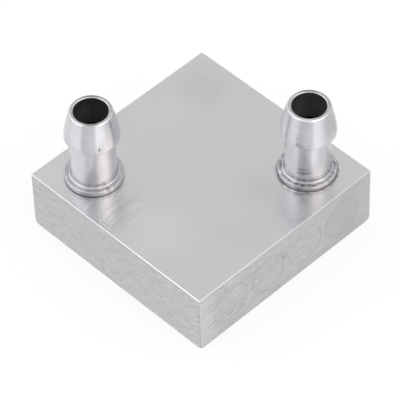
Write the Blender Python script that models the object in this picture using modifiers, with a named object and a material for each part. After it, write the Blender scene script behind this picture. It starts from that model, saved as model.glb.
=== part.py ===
"""Aluminium water block, 40 mm square, that carries the heat of a processor away in flowing water.

Channels run through the block from its front face, and two cross galleries join their ends.
Water enters by one hose nozzle, spreads from its gallery into the channels, gathers in the
other gallery and leaves by the second nozzle, at the opposite corner.
The origin is the middle of the cold face, which lies on the processor. +Z points up to the nozzles,
-Y is the front face with the channel plugs, and +X is the face with the two gallery plugs.
"""
import math

import bmesh
import bpy
from mathutils import Matrix

MM = 0.001

# Block
BLOCK_LENGTH = 40.0 * MM
BLOCK_WIDTH = 40.0 * MM
BLOCK_HEIGHT = 12.0 * MM
EDGE_RADIUS = 0.22 * MM
BOTTOM_CORNER_ROUND = 1.1 * MM

# Clearance between two pieces that are pressed together
FIT_GAP = 0.2 * MM

# Channels, drilled from the front face and closed by plugs
CHANNEL_DIAMETER = 6.4 * MM
CHANNEL_WEB = 1.0 * MM
CHANNEL_LEAST_SIDE_WALL = 2.4 * MM
CHANNEL_END_WALL = 1.2 * MM
CHANNEL_PLUG_WALL = 0.45 * MM
CHANNEL_PLUG_LENGTH = 3.4 * MM

# Cross galleries, drilled from the right-hand face and closed by plugs
GALLERY_DIAMETER = 6.0 * MM
GALLERY_PLUG_WALL = 0.45 * MM
GALLERY_PLUG_LENGTH = 2.4 * MM

PLUG_CHAMFER = 0.3 * MM

# Where the nozzles stand, measured from the block's sides
NOZZLE_INSET_X = 7.25 * MM
NOZZLE_INSET_Y = 7.7 * MM

# Spot face in the top, cut round each port a little wider than the nozzle's flange
SPOT_FACE_MARGIN = 0.26 * MM
SPOT_FACE_DEPTH = 0.1 * MM

# Hose nozzle, turned from bar: walls round its bore, and lengths along it from the lip down
NOZZLE_BORE = 5.8 * MM
NOZZLE_HEIGHT = 15.4 * MM
LIP_WALL = 0.8 * MM
LIP_INNER_ROUND = 0.3 * MM
LIP_OUTER_ROUND = 0.4 * MM
CONE_ANGLE = math.radians(14)
BARB_WALL = 1.82 * MM
BARB_LENGTH = 5.6 * MM
BARB_SHOULDER_PULL = 0.75
BARB_RUN_OUT = 2.1 * MM
RUN_OUT_FLARE = 0.15 * MM
NECK_TOP_WALL = 0.9 * MM
NECK_FOOT_WALL = 1.05 * MM
FOOT_FILLET = 0.4 * MM
FLANGE_WALL = 2.12 * MM
FLANGE_THICKNESS = 0.9 * MM
FLANGE_EDGE_RADIUS = 0.2 * MM
SPIGOT_WALL = 0.8 * MM
SPIGOT_LENGTH = 1.9 * MM
SPIGOT_CHAMFER = 0.3 * MM

# Free margin between the spot faces and the strip where a clamp bar lies
CLAMP_STRIP_MARGIN = 0.5 * MM

# Both nozzles stand a little out of true, leaning the same way, each on the low edge of its flange
INLET_LEAN = math.radians(0.6)
OUTLET_LEAN = math.radians(1.1)
LEAN_HEADING = math.radians(-43)
LOW_EDGE_GAP = 0.06 * MM

# Drills, and the fineness of round shapes
DRILL_POINT_ANGLE = math.radians(118)
DRILL_OVERRUN = 1.0 * MM
NOZZLE_STEPS = 52
HOLE_STEPS = 48
ARC_STEPS = 3
SWEEP_STEPS = 6
EDGE_STEPS = 3
SHARP_ANGLE = math.radians(35)
MERGE_DISTANCE = 0.01 * MM

# Worked out from the sizes above
CHANNEL_RADIUS = CHANNEL_DIAMETER / 2
GALLERY_RADIUS = GALLERY_DIAMETER / 2
BORE_RADIUS = NOZZLE_BORE / 2
CHANNEL_PLUG_RADIUS = CHANNEL_RADIUS + CHANNEL_PLUG_WALL
GALLERY_PLUG_RADIUS = GALLERY_RADIUS + GALLERY_PLUG_WALL
SPIGOT_RADIUS = BORE_RADIUS + SPIGOT_WALL
FLANGE_RADIUS = BORE_RADIUS + FLANGE_WALL
SPOT_FACE_RADIUS = FLANGE_RADIUS + SPOT_FACE_MARGIN
MID_HEIGHT = BLOCK_HEIGHT / 2
FRONT_FACE_Y = -BLOCK_WIDTH / 2
RIGHT_FACE_X = BLOCK_LENGTH / 2
NOZZLE_X = BLOCK_LENGTH / 2 - NOZZLE_INSET_X
NOZZLE_Y = BLOCK_WIDTH / 2 - NOZZLE_INSET_Y
CLAMP_STRIP_SIDE_Y = NOZZLE_Y - SPOT_FACE_RADIUS - CLAMP_STRIP_MARGIN

# The channels lie a web apart, as many as the block's length takes between its side walls
CHANNEL_PITCH = 2 * (CHANNEL_PLUG_RADIUS + FIT_GAP) + CHANNEL_WEB
CHANNEL_COUNT = int((BLOCK_LENGTH - 2 * CHANNEL_LEAST_SIDE_WALL + CHANNEL_WEB) / CHANNEL_PITCH)
FIRST_CHANNEL_X = -CHANNEL_PITCH * (CHANNEL_COUNT - 1) / 2

# How a piece made along +Z is turned to enter a face
INTO_TOP = Matrix.Identity(4)
INTO_FRONT = Matrix.Rotation(math.radians(90), 4, "X")
INTO_RIGHT = Matrix.Rotation(math.radians(90), 4, "Y")


def clear_scene():
    """Remove whatever the file holds before the model is made."""
    for old in list(bpy.data.objects):
        bpy.data.objects.remove(old)


def new_collection(name):
    """Make a collection in the scene."""
    collection = bpy.data.collections.new(name)
    bpy.context.scene.collection.children.link(collection)
    return collection


def metal(name, colour, roughness):
    """Make an aluminium finish."""
    material = bpy.data.materials.new(name)
    material.use_nodes = True
    shader = material.node_tree.nodes["Principled BSDF"]
    shader.inputs["Base Color"].default_value = (*colour, 1.0)
    shader.inputs["Roughness"].default_value = roughness
    shader.inputs["Metallic"].default_value = 1.0
    return material


def arc(centre, radius, start, end):
    """Points of a round in a turned profile, as (radius, height), from one angle to another."""
    points = []
    for step in range(ARC_STEPS + 1):
        angle = start + (end - start) * step / ARC_STEPS
        points.append((centre[0] + radius * math.cos(angle), centre[1] + radius * math.sin(angle)))
    return points


def swept(start, start_pull, end_pull, end):
    """Points of a smooth curve between two places of a profile, drawn towards its two pulls."""
    points = []
    for step in range(SWEEP_STEPS + 1):
        t = step / SWEEP_STEPS
        weights = ((1 - t) ** 3, 3 * t * (1 - t) ** 2, 3 * t * t * (1 - t), t ** 3)
        places = (start, start_pull, end_pull, end)
        radius = sum(weight * place[0] for weight, place in zip(weights, places))
        height = sum(weight * place[1] for weight, place in zip(weights, places))
        points.append((radius, height))
    return points


def without_repeats(profile):
    """Leave out each point of a profile that falls on the one before."""
    kept = [profile[0]]
    for point in profile[1:]:
        if math.dist(point, kept[-1]) > MERGE_DISTANCE:
            kept.append(point)
    return kept


def turned(name, profile, steps, placing, collection, closed=False):
    """Turn a profile of (radius, height) points about the +Z axis of its placing."""
    points = without_repeats(profile)
    edges = [(index, index + 1) for index in range(len(points) - 1)]
    if closed:
        edges.append((len(points) - 1, 0))
    mesh = bpy.data.meshes.new(name)
    mesh.from_pydata([(radius, 0.0, height) for radius, height in points], edges, [])
    piece = bpy.data.objects.new(name, mesh)
    piece.matrix_world = placing
    collection.objects.link(piece)
    turn = piece.modifiers.new("turn", "SCREW")
    turn.axis = "Z"
    turn.angle = math.tau
    turn.steps = steps
    turn.render_steps = steps
    turn.use_merge_vertices = True
    turn.merge_threshold = MERGE_DISTANCE
    return piece


def finish(piece, material):
    """Keep a piece's modified shape as its mesh, smooth over its rounds and crisp at its edges."""
    bpy.context.view_layer.update()
    graph = bpy.context.evaluated_depsgraph_get()
    rough = piece.data
    piece.data = bpy.data.meshes.new_from_object(piece.evaluated_get(graph))
    piece.modifiers.clear()
    bpy.data.meshes.remove(rough)
    piece.data.name = piece.name
    piece.data.shade_smooth()
    piece.data.set_sharp_from_angle(angle=SHARP_ANGLE)
    piece.data.materials.clear()
    piece.data.materials.append(material)


def point_length(radius):
    """Length of the cone at the point of a drill."""
    return radius / math.tan(DRILL_POINT_ANGLE / 2)


def drill(name, steps, placing, cutters):
    """Make a stepped drill that enters a face at the placing and runs down its -Z axis.

    Each step is a (radius, depth) pair, from the mouth inwards, and the last one ends in the
    cone of the drill's point.
    """
    profile = [(0.0, DRILL_OVERRUN), (steps[0][0], DRILL_OVERRUN)]
    for index, (radius, depth) in enumerate(steps):
        profile.append((radius, -depth))
        if index + 1 < len(steps):
            profile.append((steps[index + 1][0], -depth))
    radius, depth = steps[-1]
    profile.append((0.0, -depth - point_length(radius)))
    cutter = turned(name, profile, HOLE_STEPS, placing, cutters)
    cutter.hide_render = True
    cutter.display_type = "WIRE"
    return cutter


def at(x, y, z, turning):
    """Place a turned piece."""
    return Matrix.Translation((x, y, z)) @ turning


def channel_mouths():
    """Places of the channels in the front face, from left to right."""
    places = []
    for index in range(CHANNEL_COUNT):
        x = FIRST_CHANNEL_X + index * CHANNEL_PITCH
        places.append(at(x, FRONT_FACE_Y, MID_HEIGHT, INTO_FRONT))
    return places


def gallery_mouths():
    """Places of the cross galleries in the right-hand face, in line with the nozzles."""
    return [at(RIGHT_FACE_X, y, MID_HEIGHT, INTO_RIGHT) for y in (-NOZZLE_Y, NOZZLE_Y)]


def port_mouths():
    """Places of the inlet and outlet ports in the top face, at opposite corners."""
    return [at(x, y, BLOCK_HEIGHT, INTO_TOP) for x, y in ((-NOZZLE_X, NOZZLE_Y), (NOZZLE_X, -NOZZLE_Y))]


def water_ways(cutters):
    """Make the drills that cut the channels, the galleries and the ports, with their seats."""
    channel_seat = (CHANNEL_PLUG_RADIUS + FIT_GAP, CHANNEL_PLUG_LENGTH + FIT_GAP)
    channel_depth = BLOCK_WIDTH - CHANNEL_END_WALL - point_length(CHANNEL_RADIUS)
    gallery_seat = (GALLERY_PLUG_RADIUS + FIT_GAP, GALLERY_PLUG_LENGTH + FIT_GAP)
    gallery_depth = RIGHT_FACE_X - FIRST_CHANNEL_X
    spot_face = (SPOT_FACE_RADIUS, SPOT_FACE_DEPTH)
    port_seat = (SPIGOT_RADIUS + FIT_GAP, SPIGOT_LENGTH + FIT_GAP)
    port_depth = MID_HEIGHT - point_length(BORE_RADIUS)
    kinds = (
        ("channel_drill", channel_mouths(), [channel_seat, (CHANNEL_RADIUS, channel_depth)]),
        ("gallery_drill", gallery_mouths(), [gallery_seat, (GALLERY_RADIUS, gallery_depth)]),
        ("port_drill", port_mouths(), [spot_face, port_seat, (BORE_RADIUS, port_depth)]),
    )
    drills = []
    for name, mouths, steps in kinds:
        for number, mouth in enumerate(mouths, 1):
            drills.append(drill(f"{name}_{number}", steps, mouth, cutters))
    return drills


def mark_clamp_strip(shape):
    """Part off the strip of the top face, between the spot faces, on which a clamp bar lies."""
    for side in (-1, 1):
        top = [face for face in shape.faces if face.normal.z > 0.5]
        edges = {edge for face in top for edge in face.edges}
        corners = {corner for face in top for corner in face.verts}
        bmesh.ops.bisect_plane(
            shape,
            geom=[*top, *edges, *corners],
            plane_co=(0.0, side * CLAMP_STRIP_SIDE_Y, BLOCK_HEIGHT),
            plane_no=(0.0, 1.0, 0.0),
        )


def block_body(collection, cutters, material):
    """Cut the block from plate, round off its bottom corners and edges, and drill its water ways."""
    shape = bmesh.new()
    bmesh.ops.create_cube(shape, size=1.0)
    bmesh.ops.scale(shape, vec=(BLOCK_LENGTH, BLOCK_WIDTH, BLOCK_HEIGHT), verts=shape.verts)
    bmesh.ops.translate(shape, vec=(0.0, 0.0, MID_HEIGHT), verts=shape.verts)
    low_corners = [corner for corner in shape.verts if corner.co.z < MID_HEIGHT]
    bmesh.ops.bevel(
        shape,
        geom=low_corners,
        offset=BOTTOM_CORNER_ROUND,
        segments=EDGE_STEPS,
        profile=0.5,
        affect="VERTICES",
    )
    mark_clamp_strip(shape)
    mesh = bpy.data.meshes.new("block_body")
    shape.to_mesh(mesh)
    shape.free()
    body = bpy.data.objects.new("block_body", mesh)
    collection.objects.link(body)

    soften = body.modifiers.new("soften edges", "BEVEL")
    soften.width = EDGE_RADIUS
    soften.segments = EDGE_STEPS
    soften.limit_method = "ANGLE"
    soften.angle_limit = SHARP_ANGLE
    for hole in water_ways(cutters):
        cut = body.modifiers.new(hole.name, "BOOLEAN")
        cut.operation = "DIFFERENCE"
        cut.solver = "EXACT"
        cut.object = hole
    finish(body, material)


def plugs(name, mouths, radius, length, collection, material):
    """Press a plug into each mouth, flush with its face and chamfered where it leads in."""
    profile = [
        (0.0, 0.0),
        (radius, 0.0),
        (radius, PLUG_CHAMFER - length),
        (radius - PLUG_CHAMFER, -length),
        (0.0, -length),
    ]
    for number, mouth in enumerate(mouths, 1):
        finish(turned(f"{name}_{number}", profile, HOLE_STEPS, mouth, collection), material)


def nozzle_profile():
    """Section of the hose nozzle, from its lip down the outside and back up the bore."""
    quarter = math.radians(90)
    inner_round = min(LIP_INNER_ROUND, LIP_WALL / 2)
    outer_round = min(LIP_OUTER_ROUND, LIP_WALL - inner_round)
    barb_radius = BORE_RADIUS + BARB_WALL
    barb_height = NOZZLE_HEIGHT - BARB_LENGTH
    neck_top = (BORE_RADIUS + NECK_TOP_WALL, barb_height - BARB_RUN_OUT)
    neck_foot_radius = BORE_RADIUS + NECK_FOOT_WALL
    foot_height = FLANGE_THICKNESS + FOOT_FILLET
    flange_round_height = FLANGE_THICKNESS - FLANGE_EDGE_RADIUS

    inner_centre = (BORE_RADIUS + inner_round, NOZZLE_HEIGHT - inner_round)
    outer_centre = (BORE_RADIUS + LIP_WALL - outer_round, NOZZLE_HEIGHT - outer_round)
    lip = arc(inner_centre, inner_round, 2 * quarter, quarter)
    lip += arc(outer_centre, outer_round, quarter, CONE_ANGLE)

    cone_start = lip[-1]
    cone_third = (cone_start[1] - barb_height) / 3
    cone = swept(
        cone_start,
        (cone_start[0] + cone_third * math.tan(CONE_ANGLE), cone_start[1] - cone_third),
        (barb_radius, barb_height + cone_third * BARB_SHOULDER_PULL),
        (barb_radius, barb_height),
    )
    run_out_third = BARB_RUN_OUT / 3
    run_out = swept(
        (barb_radius, barb_height),
        (barb_radius, barb_height - run_out_third),
        (neck_top[0] + RUN_OUT_FLARE, neck_top[1] + run_out_third),
        neck_top,
    )
    foot = arc((neck_foot_radius + FOOT_FILLET, foot_height), FOOT_FILLET, 2 * quarter, 3 * quarter)
    flange = arc((FLANGE_RADIUS - FLANGE_EDGE_RADIUS, flange_round_height), FLANGE_EDGE_RADIUS, quarter, 0.0)
    spigot = [
        (FLANGE_RADIUS, 0.0),
        (SPIGOT_RADIUS, 0.0),
        (SPIGOT_RADIUS, SPIGOT_CHAMFER - SPIGOT_LENGTH),
        (SPIGOT_RADIUS - SPIGOT_CHAMFER, -SPIGOT_LENGTH),
        (BORE_RADIUS, -SPIGOT_LENGTH),
    ]
    return lip + cone + run_out + foot + flange + spigot


def nozzles(collection, material):
    """Stand the two hose nozzles in their ports, each tipped on the low edge of its flange."""
    heading = Matrix.Rotation(LEAN_HEADING, 4, "Z")
    names = ("inlet_nozzle", "outlet_nozzle")
    for name, port, lean in zip(names, port_mouths(), (INLET_LEAN, OUTLET_LEAN)):
        tipping = heading @ Matrix.Rotation(lean, 4, "Y") @ heading.inverted()
        height = LOW_EDGE_GAP + FLANGE_RADIUS * math.sin(lean)
        placing = port @ Matrix.Translation((0.0, 0.0, height)) @ tipping
        piece = turned(name, nozzle_profile(), NOZZLE_STEPS, placing, collection, closed=True)
        finish(piece, material)


def main():
    """Build the water block."""
    clear_scene()
    collection = new_collection("cpu_water_block")
    cutters = new_collection("cutters")

    block_metal = metal("brushed_block_aluminium", (0.60, 0.60, 0.61), 0.38)
    plug_metal = metal("plug_aluminium", (0.54, 0.54, 0.55), 0.42)
    nozzle_metal = metal("turned_nozzle_aluminium", (0.66, 0.66, 0.67), 0.26)

    block_body(collection, cutters, block_metal)
    plugs("channel_plug", channel_mouths(), CHANNEL_PLUG_RADIUS, CHANNEL_PLUG_LENGTH, collection, plug_metal)
    plugs("gallery_plug", gallery_mouths(), GALLERY_PLUG_RADIUS, GALLERY_PLUG_LENGTH, collection, plug_metal)
    nozzles(collection, nozzle_metal)


main()
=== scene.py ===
import math
from functools import reduce

import bmesh
import bpy
from mathutils import Matrix, Vector, noise


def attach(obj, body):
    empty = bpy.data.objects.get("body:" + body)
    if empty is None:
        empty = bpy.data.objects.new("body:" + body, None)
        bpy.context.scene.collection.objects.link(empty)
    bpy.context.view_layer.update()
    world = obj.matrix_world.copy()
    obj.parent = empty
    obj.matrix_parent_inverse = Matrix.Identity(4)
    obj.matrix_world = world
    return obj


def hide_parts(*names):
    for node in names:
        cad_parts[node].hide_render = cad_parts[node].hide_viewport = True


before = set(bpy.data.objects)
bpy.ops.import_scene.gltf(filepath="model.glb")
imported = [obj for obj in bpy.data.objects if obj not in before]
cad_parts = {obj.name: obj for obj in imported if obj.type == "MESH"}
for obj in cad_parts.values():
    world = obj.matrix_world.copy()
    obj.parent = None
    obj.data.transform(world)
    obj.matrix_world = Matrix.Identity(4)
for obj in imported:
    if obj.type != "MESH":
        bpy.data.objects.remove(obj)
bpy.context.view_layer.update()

MM = 0.001

# Block, in millimetres
HALF_LENGTH = 20.0
BLOCK_HEIGHT = 12.0
MID_HEIGHT = BLOCK_HEIGHT / 2

# Plugs in the front face and in the right-hand face, in millimetres
CHANNEL_PLACES = (-13.05, -4.35, 4.35, 13.05)
CHANNEL_PLUG_RADIUS = 3.65
GALLERY_PLACES = (-12.3, 12.3)
GALLERY_PLUG_RADIUS = 3.45
SEAT_GAP = 0.2

# Hose nozzles, in millimetres
INLET_FOOT = (-12.75, 12.3)
OUTLET_FOOT = (12.75, -12.3)
NOZZLE_HEIGHT = 15.4
BORE_RADIUS = 2.9
FLANGE_RADIUS = 5.02
FLANGE_THICKNESS = 0.9
SPOT_FACE_RADIUS = 5.28
SPOT_FACE_DEPTH = 0.1
LOW_EDGE_GAP = 0.06
LEAN_HEADING = math.radians(-43)
INLET_LEAN = math.radians(0.6)
OUTLET_LEAN = math.radians(1.1)

# Camera, from the edges of the block in the photograph, with its distances in millimetres
CAMERA_BEARING = math.radians(-43.12)
CAMERA_LOOK_DOWN = math.radians(47.83)
CAMERA_ROLL = math.radians(-1.978)
CAMERA_DISTANCE = 514.47
CAMERA_SIDESTEP = -0.277
CAMERA_RISE = -0.554
FOCAL_LENGTH_PIXELS = 3064.9
PHOTO_WIDTH_PIXELS = 400
SENSOR_WIDTH = 36.0
NEAREST_SEEN = 0.01


# Tools for finishes

DULL_SHINE = 0.02


class Wire:
    """A value in a finish. Sums on wires add Math nodes, with a number on either side."""

    def __init__(self, finish, socket):
        self.finish = finish
        self.socket = socket

    def maths(self, operation, *values):
        """One Math node on some values."""
        return self.finish.node("Math", {"operation": operation}, dict(enumerate(values)))

    def __add__(self, other):
        return self.maths("ADD", self, other)

    def __radd__(self, other):
        return self.maths("ADD", other, self)

    def __sub__(self, other):
        return self.maths("SUBTRACT", self, other)

    def __rsub__(self, other):
        return self.maths("SUBTRACT", other, self)

    def __mul__(self, other):
        return self.maths("MULTIPLY", self, other)

    def __rmul__(self, other):
        return self.maths("MULTIPLY", other, self)

    def __abs__(self):
        return self.maths("ABSOLUTE", self)

    def least(self, other):
        """The lesser of two values."""
        return self.maths("MINIMUM", self, other)

    def most(self, other):
        """The greater of two values."""
        return self.maths("MAXIMUM", self, other)

    def toward(self, target, share):
        """This value, taken towards another where a mask is on."""
        return self + (target - self) * share


class Finish:
    """A node tree under construction, for a material or for the world."""

    def __init__(self, owner):
        owner.use_nodes = True
        self.tree = owner.node_tree
        self.tree.nodes.clear()

    def node(self, kind, settings=None, inputs=None, output=0):
        """Add a node, set it up, fill or link its sockets, and give one of its outputs."""
        node = self.tree.nodes.new("ShaderNode" + kind)
        for name, value in (settings or {}).items():
            setattr(node, name, value)
        for name, value in (inputs or {}).items():
            if isinstance(value, Wire):
                self.tree.links.new(value.socket, node.inputs[name])
            else:
                node.inputs[name].default_value = value
        return Wire(self, node.outputs[output]) if node.outputs else None

    def place(self):
        """Place on the object, in millimetres."""
        return self.scaled(self.node("TexCoord", output="Object"), 1 / MM)

    def normal(self):
        """Direction that the surface faces."""
        return self.node("NewGeometry", output="Normal")

    def ray(self, kind):
        """One for rays of a kind, nothing for the others."""
        return self.node("LightPath", output=f"Is {kind} Ray")

    def parts(self, vector):
        """The three parts of a vector."""
        first = self.node("SeparateXYZ", None, {0: vector})
        return [Wire(self, socket) for socket in first.socket.node.outputs]

    def vector(self, x, y, z):
        """A vector from three values."""
        return self.node("CombineXYZ", None, {0: x, 1: y, 2: z})

    def combined(self, first, second):
        """Two vectors added up."""
        return self.node("VectorMath", {"operation": "ADD"}, {0: first, 1: second})

    def difference(self, first, second):
        """One vector less another."""
        return self.node("VectorMath", {"operation": "SUBTRACT"}, {0: first, 1: second})

    def scaled(self, vector, factor):
        """A vector made longer or shorter."""
        return self.node("VectorMath", {"operation": "SCALE"}, {0: vector, "Scale": factor})

    def unit(self, vector):
        """A vector of length one in the same direction."""
        return self.node("VectorMath", {"operation": "NORMALIZE"}, {0: vector})

    def dot(self, first, second):
        """How far one vector goes along another."""
        return self.node("VectorMath", {"operation": "DOT_PRODUCT"}, {0: first, 1: second}, "Value")

    def length(self, vector):
        """Length of a vector."""
        return self.node("VectorMath", {"operation": "LENGTH"}, {0: vector}, "Value")

    def bearing(self, across, up):
        """Angle round an axis, in radians."""
        return self.node("Math", {"operation": "ARCTAN2"}, {0: up, 1: across})

    def fade(self, value, start, end, low=0.0, high=1.0):
        """A soft step, low up to the start and high from the end on."""
        inputs = {0: value, 1: start, 2: end, 3: low, 4: high}
        return self.node("MapRange", {"interpolation_type": "SMOOTHSTEP"}, inputs)

    def ridge(self, value, middle, width):
        """One at the middle value, fading to nothing at a width on either side."""
        return self.fade(abs(value - middle), width, 0.0)

    def grain(self, x, y, z, detail=2.0, roughness=0.5):
        """Soft noise about a half, with one feature to each unit of the place."""
        place = self.vector(x, y, z)
        inputs = {"Vector": place, "Scale": 1.0, "Detail": detail, "Roughness": roughness}
        return self.node("TexNoise", None, inputs)

    def uneven(self, x, y, z, detail=2.0, roughness=0.5):
        """The same noise about nothing."""
        return self.grain(x, y, z, detail, roughness) - 0.5

    def colour(self, level, tint):
        """A colour of a varying level."""
        red, green, blue = (level * part for part in tint)
        return self.node("CombineColor", None, {0: red, 1: green, 2: blue})

    def metal(self, level, tint, roughness, height, bareness, facing):
        """Close a metal, dull where it isn't bare, with scratches as a height in millimetres."""
        bump = {"Strength": 1.0, "Distance": MM, "Height": height, "Normal": facing}
        inputs = {
            "Base Color": self.colour(level, tint),
            "Metallic": bareness,
            "Roughness": roughness,
            "Specular IOR Level": DULL_SHINE,
            "Normal": self.node("Bump", None, bump),
        }
        shader = self.node("BsdfPrincipled", None, inputs)
        self.node("OutputMaterial", None, {"Surface": shader})


def new_finish(name):
    """Start a material."""
    material = bpy.data.materials.new(name)
    return material, Finish(material)


def dress(piece, material):
    """Give a piece one material."""
    piece.data.materials.clear()
    piece.data.materials.append(material)
    for face in piece.data.polygons:
        face.material_index = 0


# Finish of the block's sides and of the plugs

PLATE_TINT = (0.994, 0.979, 1.014)
LEFT_LEVEL = 0.605
RIGHT_LEVEL = 0.617
# Holes are painted dark as shade, and so are the plugs' ends inside the block and the nozzles'
# bores
PAINTED_HOLE_SHADE = 0.07
SIDE_ROUGHNESS = 0.36
PLUG_ROUGHNESS = 0.38
PLUG_SHADE = 0.01
PLUG_HIDDEN_DEPTHS = (0.1, 0.4)
FACE_DEPTH = 0.2

# Brush strokes. On the left-hand side they slope to the front and curl up near its corner, and the
# fine ones are finer. Pairs give the features along and across the strokes.
STROKE_SLOPE = 0.04
LEFT_STROKE_SLOPE = 0.05
LEFT_STROKE_CURL = 0.009
CURL_START = 7.0
FINE_STROKES = (0.2, 5.2)
LEFT_FINE_STROKES = (0.12, 1.2)
FINE_ROUGHNESS = 0.65
FINE_SHARE = 0.3
FINE_DEPTH = 0.005

# How strongly the strokes show on the left-hand side, and on the front from its left to its right
LEFT_VIGOUR = 1.7
FRONT_VIGOUR = (2.0, 0.7)

# Coarser strokes and specks: features along and across, layer, detail and share
COARSE_STROKES = (
    (0.8, 6.2, 3.0, 1.0, 0.2),
    (0.07, 0.8, 5.0, 3.0, 0.06),
    (1.6, 3.0, 9.0, 2.0, 0.06),
)

# Scratches that climb towards the front corner of the left-hand side
SCRATCHES = (0.35, 3.6)
SCRATCH_LAYER = 2.0
SCRATCH_ROUGHNESS = 0.7
SCRATCH_SLOPE = 0.1
SCRATCH_CURL = 0.017
SCRATCH_REACH = (2.0, 16.0)
BRIGHT_SCRATCHES = (0.52, 0.72)
BRIGHT_SHARE = 0.11
BRIGHT_DEPTH = 0.002
DARK_SCRATCHES = (0.44, 0.3)
DARK_SHARE = 0.08

# Outlines of the plugs, in millimetres, the noise that makes them faint, and where along the front
# they grow weaker
SEAM_WIDTH = 0.34
WOBBLE = 1.1
WOBBLE_FEATURES = 0.42
WOBBLE_LAYER = 3.0
SHIVER = 0.25
SHIVER_FEATURES = 1.5
FAINT_FEATURES = 0.33
FAINT_LAYER = 7.0
FAINT_NOISE = (0.36, 0.62)
FAINT_STRENGTHS = (0.25, 1.0)
WEAKENING_PLACES = (1.0, 15.0)
WEAKENING_STRENGTHS = (1.0, 0.5)
SEAM_SHADE = 0.145
SEAM_GROOVE = 0.006

# Patches of the front face: place and reach along it, and how much lighter. Its foot is darker
# with painted shade.
FRONT_PATCHES = ((-19.5, 4.5, 0.08), (-12.0, 4.5, 0.015), (14.0, 8.0, -0.05))
PAINTED_FOOT_SHADE_HEIGHTS = (3.5, 0.6)
PAINTED_FOOT_SHADE = 0.035

# Smudges of the front face: place and reach along and up the face, in millimetres
FRONT_SMUDGES = (
    ((-0.2, 7.3), (1.0, 0.9)),
    ((-8.4, 9.0), (3.4, 0.3)),
    ((-1.9, 8.6), (2.2, 0.25)),
    ((-13.1, 8.9), (0.8, 0.5)),
)
SMUDGE_CORE = 0.2
SMUDGE_SHADE = 0.17


def near_face(finish, place):
    """One on the front face or the left-hand one, by its own coordinate, and nothing behind it."""
    return finish.fade(place, FACE_DEPTH - HALF_LENGTH, -HALF_LENGTH)


def brushing(finish, x, y, z):
    """Brush strokes along the sides: their lightness and their depth, both about nothing."""
    along = x + y
    forward = 0.0 - y
    past_start = (forward - CURL_START).most(0.0)
    curl = past_start * past_start
    left_side = near_face(finish, x)
    slope = along * STROKE_SLOPE
    left_slope = slope + forward * LEFT_STROKE_SLOPE + curl * LEFT_STROKE_CURL
    across = z + slope - left_slope * left_side

    fine_along = along * (FINE_STROKES[0] + LEFT_FINE_STROKES[0] * left_side)
    fine_across = across * (FINE_STROKES[1] + LEFT_FINE_STROKES[1] * left_side)
    fine = finish.uneven(fine_along, 0.0, fine_across, roughness=FINE_ROUGHNESS)
    lightness = fine * FINE_SHARE
    for length, width, layer, detail, share in COARSE_STROKES:
        lightness = lightness + finish.uneven(along * length, layer, across * width, detail) * share

    rise = z - forward * SCRATCH_SLOPE - curl * SCRATCH_CURL
    scratches = finish.grain(
        forward * SCRATCHES[0], SCRATCH_LAYER, rise * SCRATCHES[1], roughness=SCRATCH_ROUGHNESS
    )
    near_front = finish.fade(forward, *SCRATCH_REACH)
    bright = finish.fade(scratches, *BRIGHT_SCRATCHES) * left_side * near_front
    dark = finish.fade(scratches, *DARK_SCRATCHES) * left_side * near_front
    lightness = lightness + bright * BRIGHT_SHARE - dark * DARK_SHARE
    return lightness, fine * FINE_DEPTH + bright * BRIGHT_DEPTH


def from_plug(finish, across, up, places):
    """Distance from the middle of the nearest plug of a face."""
    offsets = [finish.vector(across - place, 0.0, up - MID_HEIGHT) for place in places]
    return reduce(Wire.least, [finish.length(offset) for offset in offsets])


def seam_lines(finish, x, y, z):
    """Dark wavy outlines of the plugs, where the brush has smeared metal over their joints."""
    front = near_face(finish, y)
    right = finish.fade(x, HALF_LENGTH - FACE_DEPTH, HALF_LENGTH)
    wobble = finish.uneven(
        x * WOBBLE_FEATURES, y * WOBBLE_FEATURES, z * WOBBLE_FEATURES + WOBBLE_LAYER, detail=1.0
    )
    shiver = finish.uneven(
        x * SHIVER_FEATURES, y * SHIVER_FEATURES, z * SHIVER_FEATURES, detail=1.0
    )
    faint = finish.grain(
        x * FAINT_FEATURES, y * FAINT_FEATURES, z * FAINT_FEATURES + FAINT_LAYER, detail=1.0
    )
    waver = wobble * WOBBLE + shiver * SHIVER
    channel = from_plug(finish, x, z, CHANNEL_PLACES) + waver
    gallery = from_plug(finish, y, z, GALLERY_PLACES) + waver
    channel_line = finish.ridge(channel, CHANNEL_PLUG_RADIUS + SEAT_GAP / 2, SEAM_WIDTH) * front
    gallery_line = finish.ridge(gallery, GALLERY_PLUG_RADIUS + SEAT_GAP / 2, SEAM_WIDTH) * right
    channel_line = channel_line * finish.fade(x, *WEAKENING_PLACES, *WEAKENING_STRENGTHS)
    return channel_line.most(gallery_line) * finish.fade(faint, *FAINT_NOISE, *FAINT_STRENGTHS)


def front_smudges(finish, x, z):
    """Long soft smudges of the front face."""
    smudges = []
    for place, reach in FRONT_SMUDGES:
        across = (x - place[0]) * (1 / reach[0])
        up = (z - place[1]) * (1 / reach[1])
        distance = finish.length(finish.vector(across, 0.0, up))
        smudges.append(finish.fade(distance, 1.0, SMUDGE_CORE))
    return reduce(Wire.most, smudges)


def side_look(finish, x, y, z):
    """Level and scratch depth of the brushed sides, with the plugs' outlines."""
    lightness, depth = brushing(finish, x, y, z)
    seams = seam_lines(finish, x, y, z)
    smudges = front_smudges(finish, x, z)
    front = near_face(finish, y)
    patches_and_painted_light = sum(finish.ridge(x, place, reach) * share for place, reach, share in FRONT_PATCHES)
    # Painted shade along the foot of the front face
    patches_and_painted_light = patches_and_painted_light - finish.fade(z, *PAINTED_FOOT_SHADE_HEIGHTS) * PAINTED_FOOT_SHADE
    base = LEFT_LEVEL + (patches_and_painted_light + (RIGHT_LEVEL - LEFT_LEVEL)) * front
    front_vigour = finish.fade(x, -HALF_LENGTH, HALF_LENGTH, *FRONT_VIGOUR)
    vigour = LEFT_VIGOUR + (front_vigour - LEFT_VIGOUR) * front
    level = base + lightness * vigour
    level = level * (1.0 - seams * SEAM_SHADE) * (1.0 - smudges * front * SMUDGE_SHADE)
    return level, depth - seams * SEAM_GROOVE


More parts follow.
